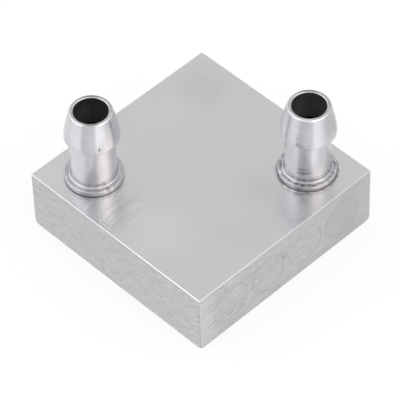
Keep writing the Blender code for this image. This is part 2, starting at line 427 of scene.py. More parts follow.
def plug_finish():
    """Plug ends, brushed over with the face they are pressed into, and painted dark as shade, not
    metal, inside the block.
    """
    material, finish = new_finish("brushed_plug")
    x, y, z = finish.parts(finish.place())
    level, depth = side_look(finish, x, y, z)
    inside = (HALF_LENGTH - abs(x)).least(HALF_LENGTH - abs(y))
    painted_inside_shade = finish.fade(inside, *PLUG_HIDDEN_DEPTHS)
    # Painted shade on the plugs' ends inside the block
    level = (level - PLUG_SHADE).toward(PAINTED_HOLE_SHADE, painted_inside_shade)
    finish.metal(level, PLATE_TINT, PLUG_ROUGHNESS, depth, 1.0 - painted_inside_shade, finish.normal())
    return material


# Finish of the block's top, edges and holes

TOP_LEVEL = 0.557
TOP_GREEN = 0.012
TOP_ROUGHNESS = 0.25
TOP_FACING = (0.7, 0.95)
ROUNDED_FACING = (0.99, 0.93)
HOLE_DEPTHS = (0.25, 0.5)

# Arcs and passes of the fly cutter, and the patch by the inlet where they catch the light
CUTTER_PLACE = (-15.0, -9.0, 0.0)
CUTTER_REACH = (4.0, 14.0)
ARC_FEATURES = 2.6
ARC_ROUGHNESS = 0.6
ARC_SHARE = 0.014
ARC_DULLING = 0.03
PASS_FEATURES = 0.5
PASS_LAYER = 6.0
PASS_SHARE = 0.008
INLET_PATCH_PLACE = (-16.5, 5.5)
INLET_PATCH_REACH = (7.5, 4.0)
INLET_ARC_SHARE = 0.36
INLET_ARC_DEPTH = 0.01

# Specks, clouds and worn places of the top
SPECK_FEATURES = 2.2
SPECK_SHARE = 0.004
CLOUD_FEATURES = 0.12
CLOUD_LAYER = 4.0
CLOUD_SHARE = 0.05
WORN_FEATURES = 0.14
WORN_NOISE = (0.35, 0.65)
WORN_STRENGTHS = (0.6, 1.0)
WORN_DULLING = 0.03

# Polished and dulled patches of the top: place, reach in millimetres, and how much lighter. The
# last two, just beside the nozzles' feet, are painted reflections of the nozzles.
TOP_PATCHES_AND_REFLECTIONS = (
    ((-15.5, -4.0), 9.0, 0.035),
    ((-18.0, 18.5), 8.0, 0.03),
    ((4.0, 15.5), 7.0, 0.015),
    ((14.0, 14.0), 7.0, -0.035),
    ((4.5, -10.0), 7.0, -0.035),
    ((-4.5, -15.5), 6.0, -0.02),
    ((7.8, -14.8), 1.3, -0.1),
    ((-17.7, 9.3), 1.8, -0.06),
)

# Deburred top edge with a painted highlight, widest near the front corner and with painted shade
# where it faces the front, painted light and shade on the upright edges by the way they face, and
# painted shade on the bottom edge
TOP_EDGE_HIGHLIGHT_LEVEL = 0.88
FRONT_EDGE_PAINTED_SHADE = 0.22
FRONT_EDGE_FACING = (0.2, 0.6)
EDGE_WIDTH = 0.03
FRONT_CORNER_WIDTH = 0.06
FRONT_CORNER_REACH = (-10.0, -40.0)
EDGE_RAGGEDNESS = 0.1
RAGGED_FEATURES = 0.8
EDGE_SOFTNESS = 0.11
UPRIGHT_EDGE_PAINTED_LIGHT = 0.3
UPRIGHT_EDGE_PAINTED_SHADE = 0.12
PAINTED_BOTTOM_EDGE_SHADE = 0.42
BOTTOM_EDGE_HEIGHTS = (1.2, 0.6)


def from_spot(finish, x, y, spot):
    """Distance from a spot of the top."""
    return finish.length(finish.vector(x - spot[0], y - spot[1], 0.0))


def top_look(finish, x, y):
    """Level, scratch depth and dulling of the milled top."""
    from_cutter = finish.difference(finish.vector(x, y, 0.0), CUTTER_PLACE)
    reach = finish.length(from_cutter)
    across, up, _ = finish.parts(from_cutter)
    bearing = finish.bearing(across, up)
    arcs = finish.uneven(reach * ARC_FEATURES, bearing, 0.0, roughness=ARC_ROUGHNESS)
    passes = finish.uneven(reach * PASS_FEATURES, bearing, PASS_LAYER)
    speck = finish.uneven(x * SPECK_FEATURES, y * SPECK_FEATURES, 0.0)
    clouds = finish.uneven(x * CLOUD_FEATURES, y * CLOUD_FEATURES, CLOUD_LAYER, detail=3.0)
    wear = finish.grain(x * WORN_FEATURES, y * WORN_FEATURES, 0.0)
    worn = finish.fade(wear, *WORN_NOISE, *WORN_STRENGTHS)
    by_inlet = finish.fade(from_spot(finish, x, y, INLET_PATCH_PLACE), *INLET_PATCH_REACH)
    # Top patches, the last two of which are painted reflections of the nozzles
    patches_and_painted_light = sum(
        finish.fade(from_spot(finish, x, y, spot), reach, 0.0) * share
        for spot, reach, share in TOP_PATCHES_AND_REFLECTIONS
    )
    arc_strength = worn * finish.fade(reach, *CUTTER_REACH) * ARC_SHARE + by_inlet * INLET_ARC_SHARE
    level = TOP_LEVEL + patches_and_painted_light + clouds * CLOUD_SHARE + arcs * arc_strength
    level = level + passes * PASS_SHARE + speck * SPECK_SHARE
    return level, arcs * by_inlet * INLET_ARC_DEPTH, arcs * ARC_DULLING + worn * WORN_DULLING


def block_finish():
    """Milled top, brushed sides, worn top edges with a painted highlight, upright edges with
    painted light and shade, and a bottom edge and drilled holes painted dark as shade.
    """
    material, finish = new_finish("brushed_plate")
    x, y, z = finish.parts(finish.place())
    face_x, face_y, face_z = (abs(part) for part in finish.parts(finish.normal()))
    depth_x = HALF_LENGTH - abs(x)
    depth_y = HALF_LENGTH - abs(y)
    depth_top = BLOCK_HEIGHT - z

    top = finish.fade(face_z, *TOP_FACING)
    rounded = finish.fade(face_x.most(face_y).most(face_z), *ROUNDED_FACING)
    hole_painted_shade = finish.fade(depth_x.least(depth_y).least(z).least(depth_top), *HOLE_DEPTHS)
    toward_front = finish.fade(x + y, *FRONT_CORNER_REACH)
    ragged = finish.uneven(
        x * RAGGED_FEATURES, y * RAGGED_FEATURES, z * RAGGED_FEATURES, detail=3.0
    )
    edge_width = EDGE_WIDTH + toward_front * FRONT_CORNER_WIDTH + ragged * EDGE_RAGGEDNESS
    from_edge = depth_top.most(depth_x.least(depth_y))
    # Painted highlight along the deburred top edge, widest near the front corner
    top_edge_highlight = finish.fade(from_edge - edge_width, EDGE_SOFTNESS, 0.0)
    # The painted highlight is dimmer, with painted shade, where the edge faces the front
    edge_highlight_level = TOP_EDGE_HIGHLIGHT_LEVEL - FRONT_EDGE_PAINTED_SHADE * finish.fade(face_y, *FRONT_EDGE_FACING)
    painted_bottom_shade = rounded * finish.fade(z, *BOTTOM_EDGE_HEIGHTS)
    upright_edge = rounded * (1.0 - top_edge_highlight) * (1.0 - painted_bottom_shade)

    top_level, top_depth, top_dulling = top_look(finish, x, y)
    side_level, side_depth = side_look(finish, x, y, z)
    level = top_level * top + side_level * (1.0 - top)
    # Painted light and shade on the upright edges, by the way they face
    painted_edge_light = (face_y - face_x) * UPRIGHT_EDGE_PAINTED_LIGHT - UPRIGHT_EDGE_PAINTED_SHADE
    level = level + painted_edge_light * upright_edge
    # Painted shade on the bottom edge, where the block meets the floor
    level = level.toward(PAINTED_BOTTOM_EDGE_SHADE, painted_bottom_shade)
    # Painted highlight on the deburred top edge
    level = level.toward(edge_highlight_level, top_edge_highlight)
    # Painted shade in the holes, which are not metal
    level = level.toward(PAINTED_HOLE_SHADE, hole_painted_shade)
    roughness = TOP_ROUGHNESS * top + SIDE_ROUGHNESS * (1.0 - top) + top_dulling * top
    height = (top_depth * top + side_depth * (1.0 - top)) * (1.0 - top_edge_highlight)
    tint = (PLATE_TINT[0], PLATE_TINT[1] + TOP_GREEN * top, PLATE_TINT[2])
    finish.metal(level, tint, roughness, height, 1.0 - hole_painted_shade, finish.normal())
    return material


# Finishes of the hose nozzles

NOZZLE_TINT = (0.998, 0.986, 1.03)
INLET_LEVEL = 0.745
OUTLET_LEVEL = 0.7
INLET_WEAR = 0.3
OUTLET_WEAR = 1.2
NOZZLE_ROUGHNESS = 0.18
WEAR_DULLING = 0.07
SMUDGE_DULLING = 0.08
MARK_DULLING = 0.2
DULL_PART_DULLING = 0.12

# Lathe lines and rings round the axis, smudges and rub marks
LATHE_FEATURES = (3.4, 0.5)
LATHE_ROUGHNESS = 0.7
LATHE_SHARE = 0.13
LATHE_DEPTH = 0.003
RING_FEATURES = (1.1, 0.25)
RING_LAYER = 4.0
RING_SHARE = 0.07
SMUDGE_FEATURES = (0.5, 0.3)
SMUDGE_SHARE = 0.1
RUB_FEATURES = 2.5
RUB_ROUGHNESS = 0.7
RUB_SHARE = 0.05
RUB_DEPTH = 0.003
WORN_RUB_DEPTH = 0.006

# Flange, its rim and the lip, with how much rub marks and smudges show on each
FLAT_FACING = (0.75, 0.97)
FLANGE_HEIGHTS = (2.0, 1.5)
FLANGE_LEVEL = 0.42
FLANGE_DIRT = (0.35, 0.2)
RIM_SOFTNESS = 0.15
RIM_LEVEL = 0.54
RIM_DIRT = (0.5, 0.3)
LIP_DEPTHS = (1.0, 0.5)
LIP_LEVEL = 0.45
LIP_DIRT = (0.2, 0.3)
# The back of the lip is darker with painted shade
LIP_BACK_BEARING = 0.82
LIP_BACK_REACH = 0.9
LIP_BACK_PAINTED_SHADE = 0.22

# Crumbled metal and burrs of the flange and of the round above it, with painted shade on that round
CRUMBLE_FEATURES = (1.3, 4.0)
CRUMBLE_ROUGHNESS = 0.6
ROUND_FACING = ((0.15, 0.45), (0.98, 0.85))
ROUND_HEIGHTS = (2.6, 2.2)
# The round above the flange is darker with painted shade
ROUND_PAINTED_SHADE = 0.18
ROUND_CRUMBLE = 0.7
BURR_RADIUS = 4.5
BURR_WANDER = 0.9
BURR_WIDTH = 0.16
BURR_SHADE = 0.13

# Painted shade along the line below the barb, and the places that are burnished upright: the step
# below the barb and the low edge of the flange
SHOULDER_HEIGHT = 9.55
SHOULDER_WIDTH = 0.14
PAINTED_SHOULDER_SHADE = 0.05
STEP_SOFTNESS = 0.12
STEP_END = (6.8, 7.4)
LOW_EDGE_HEIGHTS = (0.4, 0.25)
LOW_EDGE_REACH = (0.45, 0.35)

# Bore, and the underside of the flange, both painted dark as shade. The painted shade's levels at
# the mouth and far down are shares of a hole's. Streaks and wear each leave a share, and add to it.
BORE_EDGES = (0.12, 0.02)
UNDERSIDE_HEIGHTS = (-0.05, -0.15)
BORE_DEPTH = 7.0
BORE_LEVELS = (0.5, 2.6)
STREAK_FEATURES = (4.0, 0.2)
STREAK_LAYER = 8.0
STREAK_LEVELS = (0.6, 0.8)
BORE_WEAR_LEVELS = (0.65, 0.3)

# Nicks, smudges and painted reflection bands: height up the nozzle, bearing in degrees, reach up
# and round, and darkness. The bands are the marks that reach 2 mm or more up the nozzle.
MARK_RAGGEDNESS = 1.2
MARK_CORE = 0.35
MARK_DEPTH = 0.05
INLET_MARKS = (
    (10.7, -118.0, 0.5, 0.05, 0.5),
    (10.5, -116.5, 0.3, 0.3, 0.1),
    (0.95, -108.0, 0.25, 0.25, 0.2),
    (15.35, -133.0, 0.3, 0.5, 0.3),
    (1.0, -128.0, 0.2, 0.16, 0.16),
    (0.75, -105.0, 0.3, 0.05, 0.2),
    (0.5, -95.0, 0.5, 0.16, -0.14),
    (0.6, -111.0, 0.5, 0.11, -0.3),
    (3.4, -133.0, 2.0, 0.3, 0.1),
    (0.5, -133.0, 0.7, 0.35, -0.1),
    (10.0, 160.0, 2.5, 0.25, 0.05),
    (12.0, -108.0, 3.0, 0.2, -0.03),
)
OUTLET_MARKS = (
    (10.5, -159.0, 0.45, 0.05, 0.5),
    (10.3, -152.0, 0.25, 0.14, 0.3),
    (7.0, 147.0, 0.5, 0.12, 0.5),
    (15.3, -133.0, 0.3, 0.7, -0.3),
    (4.0, -146.0, 0.4, 0.36, 0.28),
    (3.15, -144.0, 0.6, 0.42, 0.4),
    (0.35, -152.0, 0.4, 0.16, 0.15),
    (5.0, -151.0, 4.2, 0.26, 0.1),
    (6.0, -108.0, 4.2, 0.3, 0.1),
    (12.5, -107.0, 3.0, 0.2, 0.05),
    (12.3, 166.0, 3.0, 0.12, -0.13),
    (6.0, 160.0, 3.0, 0.2, 0.05),
    (8.5, -167.0, 7.0, 0.2, -0.07),
    (12.0, -63.0, 3.5, 0.24, 0.12),
    (0.45, -140.0, 0.5, 0.15, 0.15),
    (1.35, -157.0, 0.2, 0.22, 0.3),
    (0.9, -155.0, 0.4, 0.3, 0.15),
    (0.9, -135.0, 0.3, 0.2, 0.2),
    (0.6, -103.0, 0.7, 0.4, -0.05),
    (0.4, -128.0, 0.5, 0.3, 0.08),
)


def nozzle_axis(foot, lean):
    """Foot and direction of a nozzle's axis, in millimetres."""
    sideways = math.sin(lean)
    heading = (math.cos(LEAN_HEADING), math.sin(LEAN_HEADING))
    axis = (sideways * heading[0], sideways * heading[1], math.cos(lean))
    seat = BLOCK_HEIGHT + LOW_EDGE_GAP + FLANGE_RADIUS * sideways
    return (foot[0], foot[1], seat), axis


def nicks_and_painted_bands(finish, along, bearing, rub, marks):
    """Darkness of the nicks, smudges and painted reflection bands of a nozzle, added up."""
    painted_bands_and_damage = []
    for height, direction, tall, wide, darkness in marks:
        up = (along - height) * (1 / tall)
        across = (bearing - math.radians(direction)) * (1 / wide)
        distance = finish.length(finish.vector(up, across, 0.0)) + rub * MARK_RAGGEDNESS
        painted_bands_and_damage.append(finish.fade(distance, 1.0, MARK_CORE) * darkness)
    return sum(painted_bands_and_damage)


def painted_bore_level(finish, along, bearing, wear):
    """Level of the streaky bore, painted dark as shade, darkest at its mouth."""
    streaks = finish.grain(bearing * STREAK_FEATURES[0], along * STREAK_FEATURES[1], STREAK_LAYER)
    levels = [PAINTED_HOLE_SHADE * level for level in BORE_LEVELS]
    level = finish.fade(along, NOZZLE_HEIGHT, NOZZLE_HEIGHT - BORE_DEPTH, *levels)
    level = level * (STREAK_LEVELS[0] + streaks * STREAK_LEVELS[1])
    return level * (BORE_WEAR_LEVELS[0] + wear * BORE_WEAR_LEVELS[1])


def burnished(finish, along, radius, out):
    """Direction that a nozzle's metal faces, turned upright below the barb and at its low edge."""
    step_top, step_start = (SHOULDER_HEIGHT + STEP_SOFTNESS, SHOULDER_HEIGHT - STEP_SOFTNESS)
    below_barb = finish.fade(along, step_top, step_start) * finish.fade(along, *STEP_END)
    edge_start, edge_end = (FLANGE_RADIUS - reach for reach in LOW_EDGE_REACH)
    low_edge = finish.fade(along, *LOW_EDGE_HEIGHTS) * finish.fade(radius, edge_start, edge_end)
    share = below_barb.most(low_edge)
    turn = finish.scaled(finish.difference(finish.unit(out), finish.normal()), share)
    return finish.unit(finish.combined(finish.normal(), turn))


def nozzle_finish(name, foot, lean, base_level, marks, wear):
    """Turned and tumbled aluminium with fine lathe lines, nicks, a dull flange, painted reflection
    bands, and painted shade below the barb, on the round above the flange, at the back of the lip,
    under the flange and in the bore.
    """
    material, finish = new_finish(name)
    seat, axis = nozzle_axis(foot, lean)
    from_seat = finish.difference(finish.place(), seat)
    along = finish.dot(from_seat, axis)
    out = finish.difference(from_seat, finish.scaled(axis, along))
    radius = finish.length(out)
    across, up, _ = finish.parts(out)
    bearing = finish.bearing(across, up)
    facing_up = finish.dot(finish.normal(), axis)

    lines, turns = LATHE_FEATURES
    lathe = finish.uneven(along * lines, bearing * turns, radius * lines, 3.0, LATHE_ROUGHNESS)
    lines, turns = RING_FEATURES
    rings = finish.uneven(along * lines, bearing * turns, radius * lines + RING_LAYER)
    wide, tall = SMUDGE_FEATURES
    smudge = finish.uneven(across * wide, up * wide, along * tall, 3.0)
    rub = finish.uneven(
        across * RUB_FEATURES, up * RUB_FEATURES, along * RUB_FEATURES, 3.0, RUB_ROUGHNESS
    )
    wide, tall = CRUMBLE_FEATURES
    crumble = finish.uneven(across * wide, up * wide, along * tall, 3.0, CRUMBLE_ROUGHNESS) * wear

    flat_top = finish.fade(facing_up, *FLAT_FACING)
    flange = flat_top * finish.fade(along, *FLANGE_HEIGHTS)
    lip_start, lip_end = (NOZZLE_HEIGHT - depth for depth in LIP_DEPTHS)
    lip = flat_top * finish.fade(along, lip_start, lip_end)
    rim = finish.fade(along, FLANGE_THICKNESS, FLANGE_THICKNESS - RIM_SOFTNESS)
    from_upright, to_flat = ROUND_FACING
    above_flange = finish.fade(facing_up, *from_upright) * finish.fade(facing_up, *to_flat)
    above_flange = above_flange * finish.fade(along, *ROUND_HEIGHTS)
    burr = finish.ridge(radius + rub * BURR_WANDER, BURR_RADIUS, BURR_WIDTH) * flange * wear
    painted_shoulder_line = finish.ridge(along, SHOULDER_HEIGHT, SHOULDER_WIDTH)
    # The flange's underside and the bore are painted dark as shade
    painted_underside_shade = finish.fade(along, *UNDERSIDE_HEIGHTS)
    bore_start, bore_end = (BORE_RADIUS + edge for edge in BORE_EDGES)
    painted_bore_shade = finish.fade(radius, bore_start, bore_end).most(painted_underside_shade)
    # The back of the lip is darker with painted shade
    lip_level = LIP_LEVEL - LIP_BACK_PAINTED_SHADE * finish.ridge(bearing, LIP_BACK_BEARING, LIP_BACK_REACH)

    def soiled(level, dirt):
        """A dull part's level, with its rub marks and smudges."""
        return level + rub * dirt[0] + smudge * dirt[1]

    level = base_level + lathe * LATHE_SHARE + rings * RING_SHARE
    # Painted shade along the line below the barb
    level = level + smudge * SMUDGE_SHARE + rub * RUB_SHARE - painted_shoulder_line * PAINTED_SHOULDER_SHADE
    # Painted shade on the round above the flange, with crumbled metal
    level = level - above_flange * (ROUND_PAINTED_SHADE + crumble * ROUND_CRUMBLE)
    level = level.toward(soiled(FLANGE_LEVEL, FLANGE_DIRT) + crumble, flange) - burr * BURR_SHADE
    level = level.toward(soiled(lip_level, LIP_DIRT), lip)
    level = level.toward(soiled(RIM_LEVEL, RIM_DIRT) + crumble, rim)
    # Nicks, smudges and painted reflection bands
    painted_bands_and_damage = nicks_and_painted_bands(finish, along, bearing, rub, marks)
    level = level * (1.0 - painted_bands_and_damage)
    # Painted shade in the bore and under the flange
    level = level.toward(painted_bore_level(finish, along, bearing, wear), painted_bore_shade)

    roughness = (NOZZLE_ROUGHNESS + wear * WEAR_DULLING) + smudge * SMUDGE_DULLING
    roughness = roughness + painted_bands_and_damage * MARK_DULLING + (flange + lip + rim) * DULL_PART_DULLING
    height = lathe * LATHE_DEPTH + rub * (RUB_DEPTH + wear * WORN_RUB_DEPTH) * (flange + rim)
    height = height - painted_bands_and_damage * MARK_DEPTH
    facing = burnished(finish, along, radius, out)
    finish.metal(level, NOZZLE_TINT, roughness, height, 1.0 - painted_bore_shade, facing)
    return material


# Finish of the staked metal

CRUMB_FEATURES = 1.1
CRUMB_ROUGHNESS = 0.7
CRUMB_NOISE = (0.38, 0.62)
CRUMB_LEVELS = (0.3, 0.52)
CRUMB_DEPTH = 0.02
STAKING_ROUGHNESS = 0.42


def staking_finish():
    """Aluminium that was staked over the edge of the spot face: crumbled and dirty."""
    material, finish = new_finish("staked_metal")
    x, y, z = finish.parts(finish.place())
    crumbs = finish.grain(
        x * CRUMB_FEATURES, y * CRUMB_FEATURES, z * CRUMB_FEATURES, 3.0, CRUMB_ROUGHNESS
    )
    level = finish.fade(crumbs, *CRUMB_NOISE, *CRUMB_LEVELS)
    height = crumbs * CRUMB_DEPTH
    finish.metal(level, PLATE_TINT, STAKING_ROUGHNESS, height, 1.0, finish.normal())
    return material


# Rings

RING_STEPS = 144
CREASE_ANGLE = math.radians(40)
SWELL_HEIGHT = 1.6


def solid_ring(name, section, placing, material):
    """A closed ring from a section of (radius, height) points that may change with its bearing."""
    shape = bmesh.new()
    loops = []
    for step in range(RING_STEPS):
        bearing = math.tau * step / RING_STEPS
        spoke = Vector((math.cos(bearing), math.sin(bearing), 0.0))
        corners = []
        for radius, height in section(bearing):
            place = spoke * radius + Vector((0.0, 0.0, height))
            corners.append(shape.verts.new(placing @ (place * MM)))
        loops.append(corners)
    for here, there in zip(loops, loops[1:] + loops[:1]):
        for index in range(len(here)):
            following = (index + 1) % len(here)
            shape.faces.new((here[index], there[index], there[following], here[following]))
    bmesh.ops.recalc_face_normals(shape, faces=shape.faces)
    mesh = bpy.data.meshes.new(name)
    shape.to_mesh(mesh)
    shape.free()
    mesh.shade_smooth()
    mesh.set_sharp_from_angle(angle=CREASE_ANGLE)
    ring = bpy.data.objects.new(name, mesh)
    bpy.context.scene.collection.objects.link(ring)
    dress(ring, material)
    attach(ring, "root")
    return ring


def swell(bearing, waves, seed):
    """Uneven swelling round a ring, between about -1 and 1, with no step where the ring closes."""
    place = Vector((math.cos(bearing) * waves, math.sin(bearing) * waves, seed))
    return noise.noise(place) * SWELL_HEIGHT


def at_top(foot):
    """Placing of a ring round a nozzle's foot, with its zero at the top face."""
    return Matrix.Translation(Vector((foot[0], foot[1], BLOCK_HEIGHT)) * MM)


# Hose nozzles. Their profile is in millimetres, and its step below the barb is sharper than in the
# solids. A flat part has two more points close to its ends, so that the rounds don't shade it.

LIP_TOP = NOZZLE_HEIGHT - 0.01
LIP_RADIUS = 3.7
LIP_INNER_ROUND = 0.3
LIP_OUTER_ROUND = 0.4
CONE_ANGLE = math.radians(14)
BARB_RADIUS = 4.72
BARB_HEIGHT = 9.8
SHOULDER_PULL = 0.75
STEP_EDGE_HEIGHT = 9.5
STEP_FOOT = (3.92, 8.95)
NECK_TOP = (3.8, 8.6)
NECK_FOOT_RADIUS = 3.95
FOOT_FILLET = 0.4
FLANGE_ROUND = 0.2
SPIGOT_RADIUS = 3.7
SPIGOT_LENGTH = 1.9
KEEP_FLAT = 0.06
ARC_STEPS = 8
SWEEP_STEPS = 16
OUTWARD = 0.0
UPWARD = math.radians(90)
INWARD = math.radians(180)
DOWNWARD = math.radians(270)


def arc(centre, radius, start, end):
    """Points of a round in a profile, from one angle to another."""
    points = []
    for step in range(ARC_STEPS + 1):
        angle = start + (end - start) * step / ARC_STEPS
        points.append((centre[0] + radius * math.cos(angle), centre[1] + radius * math.sin(angle)))
    return points


def swept(*pulls):
    """Points of a smooth curve from the first place to the last, drawn towards the two between."""
    points = []
    for step in range(1, SWEEP_STEPS + 1):
        t = step / SWEEP_STEPS
        weights = ((1 - t) ** 3, 3 * t * (1 - t) ** 2, 3 * t * t * (1 - t), t ** 3)
        radius = sum(weight * place[0] for weight, place in zip(weights, pulls))
        height = sum(weight * place[1] for weight, place in zip(weights, pulls))
        points.append((radius, height))
    return points


def nozzle_profile():
    """Section of the hose nozzle, from its lip down the outside to the spigot's end."""
    inner_centre = (BORE_RADIUS + LIP_INNER_ROUND, LIP_TOP - LIP_INNER_ROUND)
    outer_centre = (LIP_RADIUS - LIP_OUTER_ROUND, LIP_TOP - LIP_OUTER_ROUND)
    foot_centre = (NECK_FOOT_RADIUS + FOOT_FILLET, FLANGE_THICKNESS + FOOT_FILLET)
    rim_centre = (FLANGE_RADIUS - FLANGE_ROUND, FLANGE_THICKNESS - FLANGE_ROUND)

    lip = arc(inner_centre, LIP_INNER_ROUND, INWARD, UPWARD)
    lip += arc(outer_centre, LIP_OUTER_ROUND, UPWARD, CONE_ANGLE)
    cone_top = lip[-1]
    barb = (BARB_RADIUS, BARB_HEIGHT)
    third = (cone_top[1] - BARB_HEIGHT) / 3
    along_cone = (cone_top[0] + third * math.tan(CONE_ANGLE), cone_top[1] - third)
    above_barb = (BARB_RADIUS, BARB_HEIGHT + third * SHOULDER_PULL)
    cone = swept(cone_top, along_cone, above_barb, barb)
    step = swept(barb, (BARB_RADIUS, STEP_EDGE_HEIGHT), STEP_FOOT, NECK_TOP)
    neck = [
        (NECK_TOP[0], NECK_TOP[1] - KEEP_FLAT),
        (NECK_FOOT_RADIUS, foot_centre[1] + KEEP_FLAT),
    ]
    foot = arc(foot_centre, FOOT_FILLET, INWARD, DOWNWARD)
    ledge = [
        (foot_centre[0] + KEEP_FLAT, FLANGE_THICKNESS),
        (rim_centre[0] - KEEP_FLAT, FLANGE_THICKNESS),
    ]
    rim = arc(rim_centre, FLANGE_ROUND, UPWARD, OUTWARD)
    spigot = [
        (FLANGE_RADIUS, rim_centre[1] - KEEP_FLAT),
        (FLANGE_RADIUS, 0.0),
        (SPIGOT_RADIUS, 0.0),
        (SPIGOT_RADIUS, -SPIGOT_LENGTH),
        (BORE_RADIUS, -SPIGOT_LENGTH),
        (BORE_RADIUS, inner_centre[1] - KEEP_FLAT),
    ]
    return lip + cone + step + neck + foot + ledge + rim + spigot


def hose_nozzle(node, foot, lean, material):
    """Stand a nozzle with the photo's sharp step below its barb in the place of the solid."""
    seat, _ = nozzle_axis(foot, lean)
    heading = Matrix.Rotation(LEAN_HEADING, 4, "Z")
    tipping = heading @ Matrix.Rotation(lean, 4, "Y") @ heading.inverted()
    placing = Matrix.Translation(Vector(seat) * MM) @ tipping
    profile = nozzle_profile()

    def section(bearing):
        return profile
    nozzle = solid_ring("shown_" + node, section, placing, material)
    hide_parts(node)


# Smeared seams round the plugs, in millimetres

SEAM_DEPTH = 0.5
SEAM_CLEARANCE = 0.004
SEAM_RECESS = 0.004
SEAM_DIP = 1.4
SEAM_WAVES = 2.0
SEAM_SEED_STEP = 3.1


def seam_section(plug_radius, seed):
    """Section of the metal smeared into the gap round a plug, just below the face."""
    inner = plug_radius + SEAM_CLEARANCE
    outer = plug_radius + SEAT_GAP - 2 * SEAM_CLEARANCE

    def section(bearing):
        surface = -SEAM_RECESS * (SEAM_DIP + swell(bearing, SEAM_WAVES, seed))
        return [(inner, surface), (outer, surface), (outer, -SEAM_DEPTH), (inner, -SEAM_DEPTH)]
    return section


def plug_seams(material):
    """Fill the gap round each plug with smeared metal."""
    into_front = Matrix.Rotation(math.radians(90), 4, "X")
    into_right = Matrix.Rotation(math.radians(90), 4, "Y")
    seams = []
    for number, x in enumerate(CHANNEL_PLACES, 1):
        placing = Matrix.Translation(Vector((x, -HALF_LENGTH, MID_HEIGHT)) * MM) @ into_front
        seams.append((f"channel_seam_{number}", placing, CHANNEL_PLUG_RADIUS))
    for number, y in enumerate(GALLERY_PLACES, 1):
        placing = Matrix.Translation(Vector((HALF_LENGTH, y, MID_HEIGHT)) * MM) @ into_right
        seams.append((f"gallery_seam_{number}", placing, GALLERY_PLUG_RADIUS))
    for number, (name, placing, plug_radius) in enumerate(seams):
        section = seam_section(plug_radius, number * SEAM_SEED_STEP)
        solid_ring(name, section, placing, material)


# Metal round the feet of the nozzles, in millimetres. Swells are their waves and their seed.

UNDER_FLANGE = 0.3
FLOOR_GAP = 0.008
BEAD_LARGE_LUMPS = (2.2, 1.7)
BEAD_LARGE_SHARE = 0.6
BEAD_SMALL_LUMPS = (6.0, 4.4)
BEAD_SMALL_SHARE = 0.4
BEAD_CREST = 0.08
BEAD_RAISED_CREST = 0.1
BEAD_LUMP_HEIGHT = 0.05
BEAD_LAP = 0.11
BEAD_LAP_SWELL = 0.06
BEAD_LAP_LUMPS = (3.4, 8.2)
BEAD_LEDGE = 0.02
BEAD_INNER_GAP = 0.015
BEAD_INNER_HEIGHT = 0.025
BEAD_WALL_GAP = 0.02
BEAD_FOOT = 0.005

# Corners of the bead: places past the flange, with heights as shares of the crest, and the lap's
# corner as shares of the lap and of the crest
BEAD_RISE = (0.03, 0.85)
BEAD_TOP = 0.1
BEAD_WALL_SHARE = 0.9
BEAD_LAP_CORNER = (0.6, 0.45)

FILL_DIP = 0.008
FILL_SWELL = 0.005
FILL_LUMPS = (2.6, 5.3)
FILL_WALL_GAP = 0.012


def outlet_staking(material):
    """Raise an uneven bead of staked metal round the flange of the outlet nozzle."""
    floor = FLOOR_GAP - SPOT_FACE_DEPTH
    under = FLANGE_RADIUS - UNDER_FLANGE
    inner = FLANGE_RADIUS + BEAD_INNER_GAP
    wall = SPOT_FACE_RADIUS - BEAD_WALL_GAP

    def section(bearing):
        large, small = swell(bearing, *BEAD_LARGE_LUMPS), swell(bearing, *BEAD_SMALL_LUMPS)
        lump = large * BEAD_LARGE_SHARE + small * BEAD_SMALL_SHARE
        raised = 0.5 - 0.5 * math.cos(bearing - LEAN_HEADING)
        crest = BEAD_CREST + BEAD_RAISED_CREST * raised + BEAD_LUMP_HEIGHT * lump
        lap = BEAD_LAP + BEAD_LAP_SWELL * swell(bearing, *BEAD_LAP_LUMPS)
        return [
            (under, floor),
            (under, BEAD_LEDGE),
            (inner, BEAD_INNER_HEIGHT),
            (inner + BEAD_RISE[0], crest * BEAD_RISE[1]),
            (inner + BEAD_TOP, crest),
            (wall, crest * BEAD_WALL_SHARE),
            (wall + lap * BEAD_LAP_CORNER[0], crest * BEAD_LAP_CORNER[1]),
            (wall + lap, BEAD_FOOT),
            (wall, BEAD_FOOT),
            (wall, floor),
        ]
    solid_ring("outlet_staking", section, at_top(OUTLET_FOOT), material)


def inlet_fill(material):
    """Level the spot face round the flange of the inlet nozzle with smeared metal."""
    floor = FLOOR_GAP - SPOT_FACE_DEPTH
    inner = FLANGE_RADIUS - UNDER_FLANGE
    outer = SPOT_FACE_RADIUS - FILL_WALL_GAP

    def section(bearing):
        surface = -FILL_DIP - FILL_SWELL * swell(bearing, *FILL_LUMPS)
        return [(inner, floor), (inner, surface), (outer, surface), (outer, floor)]
    solid_ring("inlet_fill", section, at_top(INLET_FOOT), material)


# Studio

TO_CAMERA = (math.sin(CAMERA_BEARING), -math.cos(CAMERA_BEARING), 0.0)
TO_RIGHT = (math.cos(CAMERA_BEARING), math.sin(CAMERA_BEARING), 0.0)
WHITE = (1.0, 1.0, 1.0, 1.0)
FLOOR_COLOUR = (0.85, 0.85, 0.85, 1.0)
FLOOR_HALF = 1.5
FLOOR_DROP = 0.02
FLOOR_GLOW = 0.83

